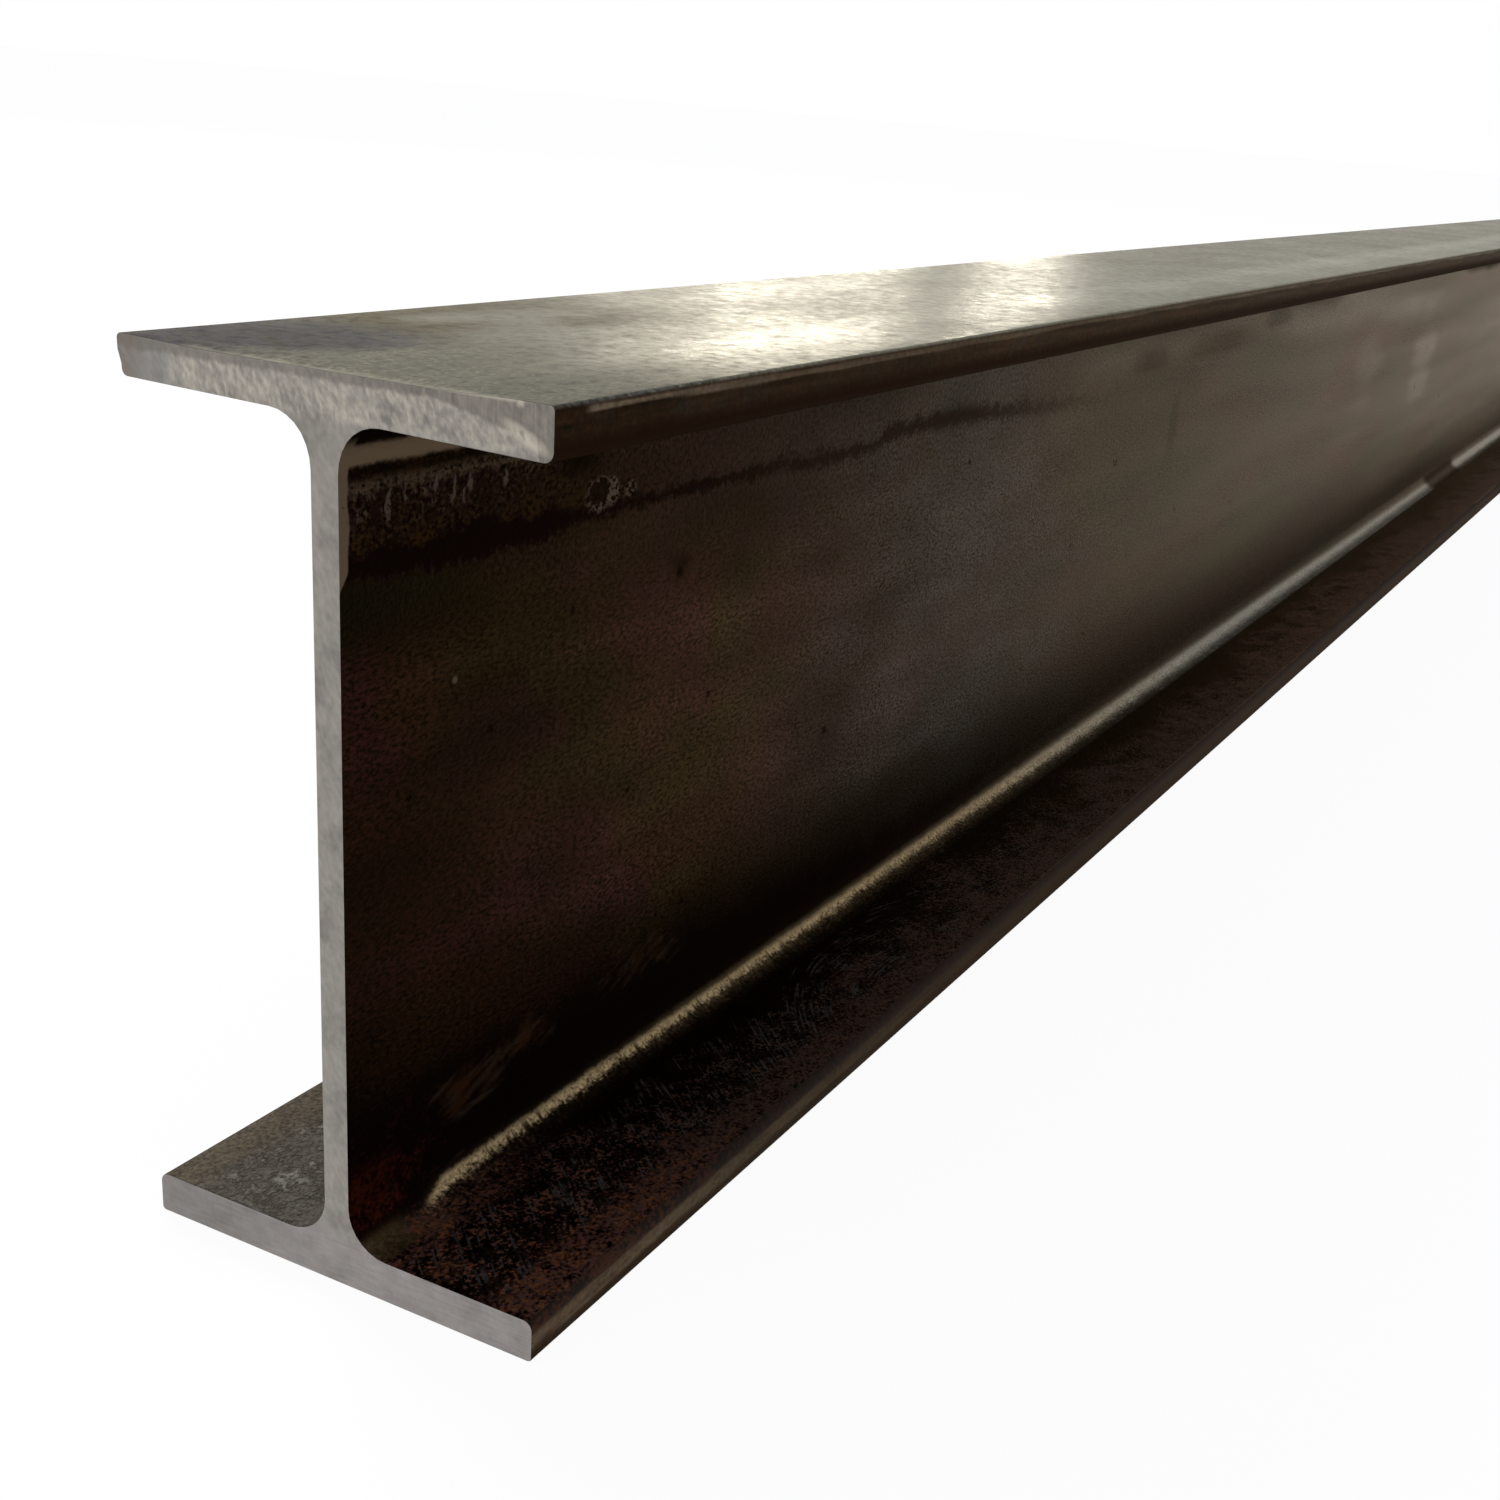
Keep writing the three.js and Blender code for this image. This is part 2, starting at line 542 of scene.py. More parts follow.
def rolled_bar(g, size):
    """The rounded outline, swept along a line whose rings lie close together at the two cuts."""
    section = rounded_section(g, size["Geometry"], size["Spacing"], size["Toe spacing"])
    around = g.node("GeometryNodeSplineParameter", None, None, "Factor")
    section = g.node(
        "GeometryNodeStoreNamedAttribute", None, {"Geometry": section, "Name": "around", "Value": around}
    )
    line = g.node("GeometryNodeCurvePrimitiveLine", None, {"Start": (-1, 0, 0), "End": (1, 0, 0)})
    line = g.node("GeometryNodeResampleCurve", None, {"Curve": line, "Count": size["Rings"]})
    along = g.node("GeometryNodeSplineParameter", None, None, "Factor")
    even = along * 2 - 1
    eased = g.math("SINE", even * (math.pi / 2))
    spread = even * (1 - size["End fineness"]) + eased * size["End fineness"]
    ring_place = g.combine(X=spread * size["Length"] * 0.5)
    line = g.node("GeometryNodeSetPosition", None, {"Geometry": line, "Position": ring_place})
    line = g.node("GeometryNodeSetCurveNormal", {"mode": "Z_UP"}, {"Curve": line})
    sockets = {"Curve": line, "Profile Curve": section, "Fill Caps": True}
    return g.node("GeometryNodeCurveToMesh", None, sockets)


def moved(g, bar, offset):
    return g.node("GeometryNodeSetPosition", None, {"Geometry": bar, "Offset": offset})


def with_faults(g, bar, here, size):
    """The bar with long shallow waves from the rolls, which leave the cuts flat, the top flange's uneven
    underside, its worn arris and its knocked toe."""
    outward = g.vector("MULTIPLY", g.node("GeometryNodeInputNormal"), (0, 1, 1))
    wave = g.ripple(here, 50 * mm, 1.0, pull=(0.16, 1, 1))
    bar = moved(g, bar, g.scaled(outward, wave * size["Wave height"]))

    at = SkinPlace(g, here)
    underside = at.height(126, 131) * at.height(137.5, 135.5)  # from the upper root to halfway up the toe
    lift = (at.y * size["Flange slope"] + size["Flange lift"]) * underside
    arris = g.step(at.from_saw, worn_reach, 0) * at.on_top * g.band(at.y, -24 * mm, 28 * mm, 8 * mm)
    bar = moved(g, bar, g.combine(Z=lift - arris * size["Worn depth"]))

    away = g.vector("DISTANCE", here, nick_place, output="Value")
    nick = g.step(away, nick_reach, 0) * size["Nick depth"]
    return moved(g, bar, g.scaled(outward, nick * -1))


def with_finishes(g, bar, finishes):
    """The bar with a finish on each stretch of its skin, and crisp edges where a cut meets the skin."""
    at = SkinPlace(g, g.node("GeometryNodeInputPosition"))
    root = web_thickness / 2 + root_radius + 0.01 * mm
    under_flange = at.z < section_height - flange_thickness / 2
    in_channel = (at.aside < root) * (at.z > flange_thickness) * under_flange
    is_ledge = (at.aside > root) * (abs(at.z - flange_thickness) < touching)
    stretches = {
        "outside": at.z > -1,  # everywhere, until the rest is set
        "web": in_channel,
        "crust": in_channel * (at.z > torn_from),
        "lower root": in_channel * (at.z < rubbed_to),
        "front ledge": is_ledge * (at.y < 0),
        "back ledge": is_ledge * (at.y > 0),
        "cut": abs(g.axis(g.node("GeometryNodeInputNormal"), "X")) > cut_facing,
    }
    for stretch, where in stretches.items():
        sockets = {"Geometry": bar, "Selection": where, "Material": finishes[stretch]}
        bar = g.node("GeometryNodeSetMaterial", None, sockets)
    bar = g.node("GeometryNodeSetShadeSmooth", None, {"Geometry": bar, "Shade Smooth": True})
    crisp = g.node("GeometryNodeInputMeshEdgeAngle") > crisp_fold
    sockets = {"Geometry": bar, "Selection": crisp, "Shade Smooth": False}
    return g.node("GeometryNodeSetShadeSmooth", {"domain": "EDGE"}, sockets)


def rolling_group(sizes, finishes):
    """Rolls the outline out along the beam, stores what its scale looks like, and sets its finishes."""
    g, size = group_with_inputs("rolled_section", "Beam", sizes)
    bar = rolled_bar(g, size)
    here = g.node("GeometryNodeInputPosition")
    for name, look in scale_looks(g, here).items():
        settings = {"data_type": "FLOAT_VECTOR", "domain": "POINT"}
        sockets = {"Geometry": bar, "Name": name, "Value": look}
        bar = g.node("GeometryNodeStoreNamedAttribute", settings, sockets)
    bar = with_finishes(g, with_faults(g, bar, here, size), finishes)
    finish_group(g, g.node("GeometryNodeRealizeInstances", None, {"Geometry": bar}))
    return g


class Finish:
    """A surface's colour, roughness, metal and height, on which marks are laid one over another."""

    def __init__(self, name, **constants):
        self.material = bpy.data.materials.new(name)
        self.material.use_nodes = True
        self.graph = Graph(self.material.node_tree)
        self.shader = self.material.node_tree.nodes["Principled BSDF"]
        for socket, value in constants.items():
            self.shader.inputs[socket.replace("_", " ")].default_value = value
        self.place = self.graph.node("ShaderNodeTexCoord", None, None, "Object")
        self.colour = self.roughness = self.metal = self.height = self.soot = None

    def stored(self, name):
        """A vector that the mesh carries."""
        return self.graph.node("ShaderNodeAttribute", {"attribute_name": name}, None, "Vector")

    def lay(self, mask, colour=None, roughness=None, metal=None, height=None, soot=None):
        """Lays a mark where the mask is 1. Its height, in metres, is added to what is there. Soot mixes in
        matt black, for black marks and for painted shade; it takes the shine away, and a mark without soot
        covers the soot beneath it."""
        if colour is not None:
            self.colour = self.graph.mix(mask, self.colour, colour)
        if roughness is not None:
            self.roughness = self.roughness + mask * (roughness - self.roughness)
        if metal is not None:
            self.metal = self.metal + mask * (metal - self.metal)
        if height is not None:
            self.height = self.height + mask * height
        if self.soot is not None:
            self.soot = self.soot + mask * ((soot or 0) - self.soot)
        elif soot:
            self.soot = mask * soot

    def shade(self, factor):
        """Makes the colour darker or lighter by a factor."""
        self.colour = self.graph.scaled(self.colour, factor)

    def done(self):
        """Links what was laid to the shader, and returns the material."""
        relief = self.graph.node("ShaderNodeBump", None, {"Height": self.height, "Distance": 1.0})
        for socket, wire in (
            ("Base Color", self.colour),
            ("Roughness", self.roughness),
            ("Metallic", self.metal),
            ("Normal", relief),
        ):
            self.graph.tree.links.new(wire.socket, self.shader.inputs[socket])
        if self.soot is not None:
            shine = Wire(self.graph, self.shader.outputs["BSDF"])
            black = self.graph.node("ShaderNodeBsdfDiffuse", None, {"Color": (*soot_black, 1)})
            both = self.graph.node("ShaderNodeMixShader", None, {"Fac": self.soot, 1: shine, 2: black})
            output = self.material.node_tree.nodes["Material Output"]
            self.graph.tree.links.new(both.socket, output.inputs["Surface"])
        return self.material


# how steel under scale, and under the top's thinner scale, tints what it reflects at a grazing angle
scale_edge_tint = (0.87, 0.74, 0.60)
top_edge_tint = (0.905, 0.868, 0.75)


def scale_ground(
    name,
    edge_tint=scale_edge_tint,
    grain_size=(1.2 * mm, 0.6 * mm, 0.6 * mm),
    grain_shade=6.0,
    grain_height=0.09 * mm,
    matt=False,
):
    """A finish with the scale's stored looks, which grain and blots break up, and its stored marks."""
    skin = Finish(name, Specular_Tint=(*edge_tint, 1))
    g = skin.graph
    skin.at = SkinPlace(g, skin.place)
    skin.grain = g.ripple(g.vector("DIVIDE", skin.place, grain_size), 1, 1.0, 0.66)
    skin.blot = g.ripple(skin.place, 5 * mm, 2.0, 0.66)
    roughness, skin.metal, matting = (g.axis(skin.stored("scale_state"), name) for name in "XYZ")
    dark, skin.light, skin.rust = (g.axis(skin.stored("scale_marks"), name) for name in "XYZ")
    skin.colour = skin.stored("scale_colour")
    skin.roughness = roughness + skin.grain * 0.2
    skin.height = skin.grain * grain_height
    skin.shade(1 + skin.grain * grain_shade + skin.blot * 1.6)
    if matt:
        skin.soot = matting + skin.blot * 0.3
    near = skin.at.along(420, 150)
    darkened = g.step(dark + (skin.blot * 1.1 + skin.grain * 0.7) * near, 0.10, 0.80)
    skin.lay(darkened * 0.85, colour=stain_brown, roughness=0.6, soot=0.6 if matt else None)
    return skin


def paint_foot_shade(skin):
    """Darkens the foot of the front of the web with painted shade, above the rubbed line: highest beside the
    near cut.
    """
    g, at = skin.graph, skin.at
    reach = 15 * mm + at.along(260, 60) * 9 * mm
    foot = g.step(at.z + (skin.blot * 8 + skin.grain * 2) * mm, reach + 6 * mm, reach - 5 * mm)
    foot = foot * at.along(430, 150) * at.front * at.near_web
    skin.lay(foot * 0.85, colour=scale_black, roughness=0.6, soot=0.75)


# smears on the web: their colours, and the angle that they rise at
smear_brown = (0.037, 0.0140, 0.0054)
smear_pale = (0.030, 0.0185, 0.0125)
smear_rise = 0.35

# scale that stands up and catches the light
hook_pale = (0.0740, 0.0560, 0.0450)

# dark pits and one pale speck on the web: distance from the near cut, height above the floor and radius,
# in millimetres
pits = [
    (33.5, 82.5, 0.8),
    (55, 97, 0.7),
    (100, 72, 0.7),
    (87.7, 97.6, 1.0),
    (150, 52, 1.0),
]
pale_speck = (24.8, 92.3, 0.6)


def speck_on_web(skin, along, up, radius):
    """1 on a small uneven speck on the front of the web, whose place and radius are in millimetres."""
    g = skin.graph
    middle = (near_cut + along * mm, -web_thickness / 2, up * mm)
    away = g.vector("DISTANCE", skin.place, middle, output="Value")
    return g.step(away + skin.grain * (radius * mm), radius * mm * 1.4, radius * mm * 0.5)


def swept_scale():
    """The web: burnished scale, mottled with hues and pitted, with swept smears."""
    skin = scale_ground("swept_scale", matt=True)
    g, grain, blot = skin.graph, skin.grain, skin.blot
    # painted shade on the web's foot
    paint_foot_shade(skin)
    swept = g.ripple(g.turned(skin.place, "Y", smear_rise), 1.3 * mm, 1.0, pull=(0.16, 1, 1))
    smear = g.step(skin.light + blot * 1.4 + swept * 1.8 + grain * 0.6, 0.20, 1.25)
    smear = smear * g.step(skin.light, 0.05, 0.35) * 0.85
    smear_hue = g.mix(g.step(swept - blot * 0.6, -0.04, 0.10), smear_brown, smear_pale)
    skin.lay(smear, colour=smear_hue, roughness=0.6)
    rusted = g.step(skin.rust + blot * 1.4 + grain * 1.4, 0.2, 1.3)
    skin.lay(rusted * 0.75, colour=rust_red, roughness=0.7, soot=0.1)
    pitted = g.step(blot, -0.23, -0.29)
    for pit in pits:
        pitted = g.larger(pitted, speck_on_web(skin, *pit))
    skin.lay(pitted * 0.6, colour=scale_black, roughness=0.8, soot=0.6)
    skin.lay(speck_on_web(skin, *pale_speck) * 0.8, colour=hook_pale)
    return skin.done()


# torn scale's colours
crust_ground = (0.0046, 0.0019, 0.0014)
crust_maroon = (0.0040, 0.0006, 0.0004)
crust_violet = (0.0046, 0.0009, 0.0028)
crust_ochre = (0.0210, 0.0082, 0.0022)
crust_olive = (0.0250, 0.0150, 0.0062)
crust_plum = (0.0200, 0.0080, 0.0078)
# khaki of the bare chipped edge, of the upper root's dull stripe, and of its stripe of painted reflection
bare_and_sheen_khaki = (0.0950, 0.0680, 0.0450)
root_umber = (0.0200, 0.0072, 0.0020)

# blisters that burst in it: distance from the near cut, height above the floor and half height, in
# millimetres, and how much of the rim has gone
blisters = [(61.6, 115.2, 3.0, 0.02), (69.8, 115.5, 1.5, 0.14)]
blister_length = 1.4  # in heights

# single hooks that stand out: distance from the near cut, height above the floor and half height, in
# millimetres
hooks = [
    (9.8, 120.8, 2.5),
    (20.4, 122.6, 1.3),
    (23.9, 121.0, 2.0),
    (28.0, 121.6, 1.4),
    (36.0, 121.2, 1.4),
]
hook_half_width = 0.5 * mm

# the dark line below it: its height, where it dips and rises, and how fast it sinks after that
line_height = 112.4 * mm
line_dip = (128 * mm, 165 * mm)
line_rise = (171 * mm, 212 * mm)
line_sink = 0.055

# the upper root, by height: its lower edge, a dull stripe, a stripe of painted reflection, and where the
# painted shade above them starts
root_edge = (123.4 * mm, 124.4 * mm)
dull_stripe = (123.2 * mm, 125.0 * mm)
root_sheen_stripe = (126.9 * mm, 130.1 * mm)
dark_above = (129.5 * mm, 130.5 * mm)

# how far the scale is chipped off the web's near edge
chip_reach = 2 * mm


def lay_blister(skin, along, up, radius, lost):
    """A burst blister: a hollow darkened with painted shade, and a pale broken rim with a painted highlight,
    strongest at its far side and foot.
    """
    g, at = skin.graph, skin.at
    sideways = (at.from_saw - along) / blister_length
    upward = at.z - up
    bent = (skin.blot * 6 + skin.grain * 3.5 + skin.hue * 3) * mm
    away = g.math("SQRT", sideways * sideways + upward * upward) + bent
    # painted shade in the hollow
    hollow = g.step(away, radius, radius * 0.7) * at.front
    inside = g.mix(g.step(skin.grain + skin.hue, -0.06, 0.14), scale_black, crust_plum)
    skin.lay(hollow * 0.92, colour=inside, soot=0.5)
    # a painted highlight on the rim's far side and foot
    lit_side = g.step(sideways - upward, -radius, radius)
    kept = g.step(skin.grain + skin.hue * 0.5 + lit_side * 0.10 - lost, -0.10, 0.10) * at.front
    rim = g.step(abs(away - radius), (0.75 + lit_side * 0.35) * mm, 0.2 * mm) * (0.6 + lit_side * 0.4)
    skin.lay(rim * kept, colour=hook_pale, soot=0)


def lay_crust(skin):
    """The torn scale: a mottled ground, ochre low down and palest under the root, with upright hooks."""
    g, at, grain, blot, hue = skin.graph, skin.at, skin.grain, skin.blot, skin.hue
    in_crust = g.band(at.z + blot * 2 * mm, crust_low, crust_high, 0.8 * mm) * skin.torn
    skin.lay(in_crust * 0.9, colour=crust_ground, roughness=0.65)
    low_down = at.height(119, 115) * g.step(blot, -0.1, 0.1)
    flecks = g.mix(low_down, g.mix(g.step(hue, -0.04, 0.04), crust_olive, crust_plum), crust_ochre)
    flecks = g.scaled(flecks, 1 + at.height(119.5, 121.5) * 0.6 - at.along(40, 58) * 0.35)
    skin.lay(in_crust * g.step(grain + blot * 0.5, -0.03, 0.17), colour=flecks)
    skin.lay(in_crust * g.step(grain + hue * 0.3, -0.04, -0.15) * 0.85, colour=crust_maroon, soot=0.7)
    standing = g.step(skin.upright + grain * 0.2, 0.58, 0.70) * g.step(blot, -0.08, 0.06)
    standing = standing * at.height(117, 120) * at.along(66, 24)
    skin.lay(in_crust * standing * 0.85, colour=hook_pale, height=0.22 * mm, soot=0)
    for along, up, half_height in hooks:
        sideways = (at.from_saw - along * mm + (blot * 4 + grain * 1.2) * mm) / hook_half_width
        upward = (at.z - up * mm) / (half_height * mm)
        hook = g.step(sideways * sideways + upward * upward + grain * 3, 1.6, 0.2) * at.front
        skin.lay(hook * 0.9, colour=hook_pale, soot=0)


def lay_crust_line(skin):
    """The torn scale's dark lower edge: deepest where scale broke away, then a line that sinks and fades."""
    g, at, grain, blot = skin.graph, skin.at, skin.grain, skin.blot
    deep = at.stretch(16, 52, 10)
    left = at.along(40, 20)
    dip = g.band(at.from_saw, *line_dip, 6 * mm) * 1.1 * mm
    rise = g.band(at.from_saw, *line_rise, 5 * mm) * 0.6 * mm
    sinking = g.larger(at.from_saw - line_rise[1], 0) * line_sink
    middle = line_height - dip + rise - sinking + left * 0.5 * mm
    half = (1.12 - at.stretch(66, 88, 6) * 0.5 + deep * 1.0 + left * 0.35) * mm
    drips = (skin.upright - 0.5) * g.step(at.z, middle + 0.5 * mm, middle - 1 * mm) * 8 * mm
    rag = (blot * (7 + deep * 5) + grain * 4) * mm + drips
    edge = g.step(abs(at.z - middle + blot * 3 * mm) - half + rag * 0.5, 1.7 * mm, -0.8 * mm)
    edge = edge * at.along(330, 200) * at.on_web
    edge_hue = g.mix(g.step(skin.hue, -0.05, 0.1), crust_maroon, crust_violet)
    skin.lay(edge * 0.92, colour=edge_hue, roughness=0.65)
    skin.soot = g.larger(skin.soot, edge * 0.6 * at.along(150, 60))


def lay_upper_root(skin):
    """The root under the top flange: a stripe of painted reflection between two dark ones, the upper one
    painted shade, and a duller stripe below.
    """
    g, at, grain, blot = skin.graph, skin.at, skin.grain, skin.blot
    raw_z = at.z + (blot * 1.2 + grain * 0.6) * mm
    in_root = g.step(at.z + blot * 2 * mm, *root_edge)
    root_hue = g.mix(g.step(blot + grain, -0.05, 0.1), scale_black, root_umber)
    skin.lay(in_root, colour=root_hue, roughness=0.6, soot=0.45)
    # painted shade at the top of the upper root, under the flange
    skin.lay(g.step(at.z, *dark_above), colour=scale_black, soot=0.7)
    # how strong the two stripes are: more where the scale is torn
    worn = 0.45 + skin.torn * 0.55
    dull = g.band(raw_z, *dull_stripe, 0.7 * mm) * worn * g.step(grain + blot * 0.4, -0.25, 0.10)
    skin.lay(dull * 0.55, colour=bare_and_sheen_khaki, soot=0)
    # the stripe of painted reflection
    rubbed = g.band(raw_z, *root_sheen_stripe, 0.5 * mm) * worn
    skin.lay(rubbed, colour=bare_and_sheen_khaki, roughness=0.5, soot=0)


def torn_scale():
    """The web's top and its root: scale torn into upright hooks on a mottled ground, above a dark edge."""
    skin = scale_ground("torn_scale", grain_size=(0.95 * mm, 0.8 * mm, 0.8 * mm), matt=True)
    g, at, blot = skin.graph, skin.at, skin.blot
    skin.torn = g.axis(skin.stored("scale_tears"), "X")
    skin.hue = g.ripple(skin.place, 2.4 * mm, 1.0)
    bent = g.vector("ADD", skin.place, g.scaled(g.combine(X=blot), 4 * mm))
    skin.upright = g.noise(bent, 1 * mm, 1.5, pull=(1, 1, 0.40))
    lay_crust(skin)
    lay_crust_line(skin)

    # a painted shadow on the torn scale, 50 to 61 mm from the near cut
    hollow = g.band(at.z + blot * 4 * mm, 119.5 * mm, 126 * mm, 1.5 * mm) * at.stretch(50, 61, 5)
    skin.lay(hollow * at.front * 0.8, colour=scale_black, soot=0.6)
    for along, up, radius, lost in blisters:
        lay_blister(skin, along * mm, up * mm, radius * mm, lost)
    lay_upper_root(skin)

    # the web's near edge, bare where the scale broke off under the flange
    chip_width = (chip_reach + blot * 1.2 * mm) * at.height(109.5, 113.5)
    chipped = g.step(at.from_saw, chip_width + 0.1 * mm, chip_width - 0.3 * mm) * at.front
    skin.lay(chipped * at.height(132, 130), colour=bare_and_sheen_khaki, roughness=0.5, soot=0)
    return skin.done()


# rust dust and scratches on the front ledge
ledge_rust = (0.084, 0.023, 0.0075)
ledge_umber = (0.050, 0.0172, 0.0094)
ledge_violet = (0.040, 0.0128, 0.0124)
ledge_earth = (0.092, 0.031, 0.003)
scratch_grey = (0.037, 0.034, 0.037)

# the sweepings fan out: the scratches' turn beside the near cut, how much further they turn, and the
# point that they turn about
sweep_turn = 2.30
sweep_fan = 1.0
sweep_centre = (near_cut + 125 * mm, -25 * mm, 0)


def lay_rust_specks(skin, mask):
    """Specks of rust in three browns, thick where the stored rust is strong and earthy far from the cut."""
    g, grain, blot = skin.graph, skin.grain, skin.blot
    hue = g.ripple(skin.place, 1.3 * mm, 1.0)
    rust_hue = g.mix(g.step(hue + blot * 0.5, -0.07, 0.03), ledge_violet, ledge_umber)
    rust_hue = g.mix(g.step(hue, 0.0, 0.14), rust_hue, ledge_rust)
    beyond_cut = skin.at.along(20, 75)
    far_off = skin.at.along(250, 500)
    rust_hue = g.mix(far_off * 0.75, rust_hue, ledge_earth)
    rust_hue = g.scaled(rust_hue, 1.30 - beyond_cut * 1.02 + far_off * 0.25 + grain * 0.9)
    specks = g.step(grain * 1.3 + blot * 0.9 + skin.rust * 0.55, 0.10, 0.90) * mask
    skin.lay(specks * 0.9, colour=rust_hue, roughness=0.85, metal=0.25, soot=0)


# the lower root's line, rubbed bare and painted bright as a highlight: its colours near the cut and far on,
# the heights it lies between, and where it starts, settles and is broken
rubbed_sheen_khaki = (0.184, 0.139, 0.078)
rubbed_sheen_grey = (0.168, 0.168, 0.150)
rubbed_low = 8.3 * mm
rubbed_high = 9.6 * mm
rubbed_start = 9.3 * mm
rubbed_settled = 28 * mm
rubbed_gap = (866 * mm, 950 * mm)
start_khaki = (0.040, 0.027, 0.0105)  # of the dust where it starts


def lay_rubbed_sheen_line(skin):
    """One line along the lower root, rubbed bare and painted bright as a highlight, with ticks across it:
    broad where it starts, slim as far as 72 mm, and broad again far on, where it sinks."""
    g, at, grain, blot = skin.graph, skin.at, skin.grain, skin.blot
    starting = g.step(at.from_saw, rubbed_settled, rubbed_settled - 8 * mm)
    tip = g.step(at.from_saw, rubbed_start + 13 * mm, rubbed_start)
    slim = g.band(at.from_saw, rubbed_settled, 72 * mm, 5 * mm)
    broad = at.along(160, 480)
    sunk = at.along(480, 850)
    wide = at.along(90, 170)
    rise = slim * 0.2 + starting * 0.15 - tip * 2.6 + wide * 0.15 + broad * 0.1 - sunk * 0.7
    drop = starting * 0.3 + tip * 0.3 + wide * 0.25 + broad * 1.3 + sunk * 0.6
    upper = rubbed_high + rise * mm
    lower = rubbed_low - drop * mm
    gap = g.band(at.from_saw, *rubbed_gap, 8 * mm)
    past_gap = g.step(at.from_saw, *rubbed_gap)
    raw_z = at.z + (blot * 1.0 + grain * 1.1 - past_gap * 1.0) * mm
    soft = (0.5 + wide * 0.25 + broad * 0.2) * mm
    line = g.step(raw_z, lower - soft, lower + soft) * g.step(raw_z, upper + soft, upper - soft)
    # a soft painted glow round the line
    halo = g.step(raw_z, lower - 1.5 * mm, lower) * g.step(raw_z, upper + 1.2 * mm, upper)
    line = g.larger(line, halo * (0.10 + at.along(50, 110) * 0.26))
    line = line * g.step(at.from_saw, rubbed_start, rubbed_start + 3 * mm) * at.front
    cross = g.noise(skin.place, 1.3 * mm, 1.5, pull=(1, 0.22, 0.22))
    ticks = g.step(cross + grain * 0.4, 0.58, 0.70) * g.step(at.z, upper + 0.3 * mm, lower)
    rusted = gap * at.layer(7.5, 12.5, 2) * at.front
    skin.lay(rusted * 0.7, colour=rust_brown, roughness=0.8, soot=0.5)
    line = line * (1 - gap * 0.85) * (1 - ticks * (0.8 - wide * 0.65))
    khaki = g.mix(broad, rubbed_sheen_khaki, rubbed_sheen_grey)
    khaki = g.scaled(khaki, 1 + starting * 0.08 - slim * 0.10 + grain * 2.6 + blot * 0.9)
    skin.lay(line, colour=khaki, roughness=0.42, metal=1 - broad * 0.35, soot=0)
    skin.height = skin.height + g.band(at.z, rubbed_low, rubbed_high, 0.5 * mm) * at.front * 0.06 * mm


def rubbed_scale():
    """The lower root: scale blackened with painted shade, with one line rubbed bare and painted bright as a
    highlight.
    """
    skin = scale_ground("rubbed_scale", grain_size=(0.8 * mm, 0.7 * mm, 0.7 * mm), matt=True)
    g, at, grain, blot = skin.graph, skin.at, skin.grain, skin.blot
    # painted shade on the web's foot
    paint_foot_shade(skin)
    swept = g.ripple(skin.place, 1.1 * mm, 1.0, pull=(0.14, 1, 1))
    stroke = g.step(skin.light + swept * 1.2, 0.40, 0.9) * g.step(skin.light, 0.1, 0.3)
    skin.lay(stroke, colour=smear_pale, soot=0)
    reddish = g.step(skin.rust + blot * 1.6 + grain * 1.6, 0.3, 1.3) * at.height(8.6, 9.8)
    skin.lay(reddish * 0.75, colour=g.scaled(rust_red, 1.45), roughness=0.7, soot=0)
    lay_rust_specks(skin, at.height(9.2, 8.2) * at.along(60, 25) * at.front)
    lay_rubbed_sheen_line(skin)

    # khaki at the near end, where the line starts
    start = g.step(at.from_saw + (blot * 12 + grain * 9) * mm, 13 * mm, 6 * mm)
    start = start * g.step(at.z + grain * 1 * mm, 9.6 * mm, 8.0 * mm) * at.front
    skin.lay(start * 0.8, colour=start_khaki, roughness=0.6, soot=0)
    return skin.done()


def front_ledge_scale():
    """The front ledge: rusty scale, black where sweepings left hair scratches."""
    skin = scale_ground("front_ledge_scale", grain_size=(0.7 * mm, 0.65 * mm, 0.65 * mm))
    g, at, grain, blot = skin.graph, skin.at, skin.grain, skin.blot
    angle = sweep_turn + at.along(60, 190) * sweep_fan
    hair = g.ripple(g.turned(skin.place, "Z", angle, sweep_centre), 0.5 * mm, 0, pull=(0.05, 1, 1))
    lay_rust_specks(skin, 1)
    brushed = g.step(skin.light + blot * 1.8 + grain * 0.4, 0.15, 0.85)
    between = g.step(grain + blot * 0.6, 0.20, 0.0)
    skin.lay(brushed * between * 0.93, colour=scale_black, metal=1)
    strokes = g.step(hair, 0.07, 0.24) * g.step(blot, -0.14, 0.08) * at.along(330, 160)
    skin.lay(g.step(brushed, 0.1, 0.7) * strokes * 0.8, colour=scratch_grey, roughness=0.6, metal=0.5)
    return skin.done()


# the back ledge's colours
flake_pale = (0.190, 0.188, 0.180)
gap_dark = (0.012, 0.011, 0.010)


def back_ledge_scale():
    """The back ledge: dusty scale, cracked like dried mud beside the web, with a few paler flakes."""
    skin = scale_ground("back_ledge_scale", grain_size=(0.7 * mm, 0.65 * mm, 0.65 * mm))
    g, at, grain, blot = skin.graph, skin.at, skin.grain, skin.blot
    plate = g.ripple(skin.place, 2.6 * mm, 1.5, 0.6)
    crack = g.step(abs(plate + grain * 0.2), 0.045, 0.008) * g.step(at.aside, 31 * mm, 25 * mm)
    skin.lay(crack * 0.8, colour=gap_dark, height=-0.12 * mm)
    flake = g.step(plate + grain * 0.4, 0.12, 0.20) * g.band(at.aside, 15 * mm, 27 * mm, 4 * mm)
    skin.lay(flake * 0.42, colour=flake_pale, height=0.1 * mm)
    skin.height = skin.height + blot * 0.3 * mm
    return skin.done()


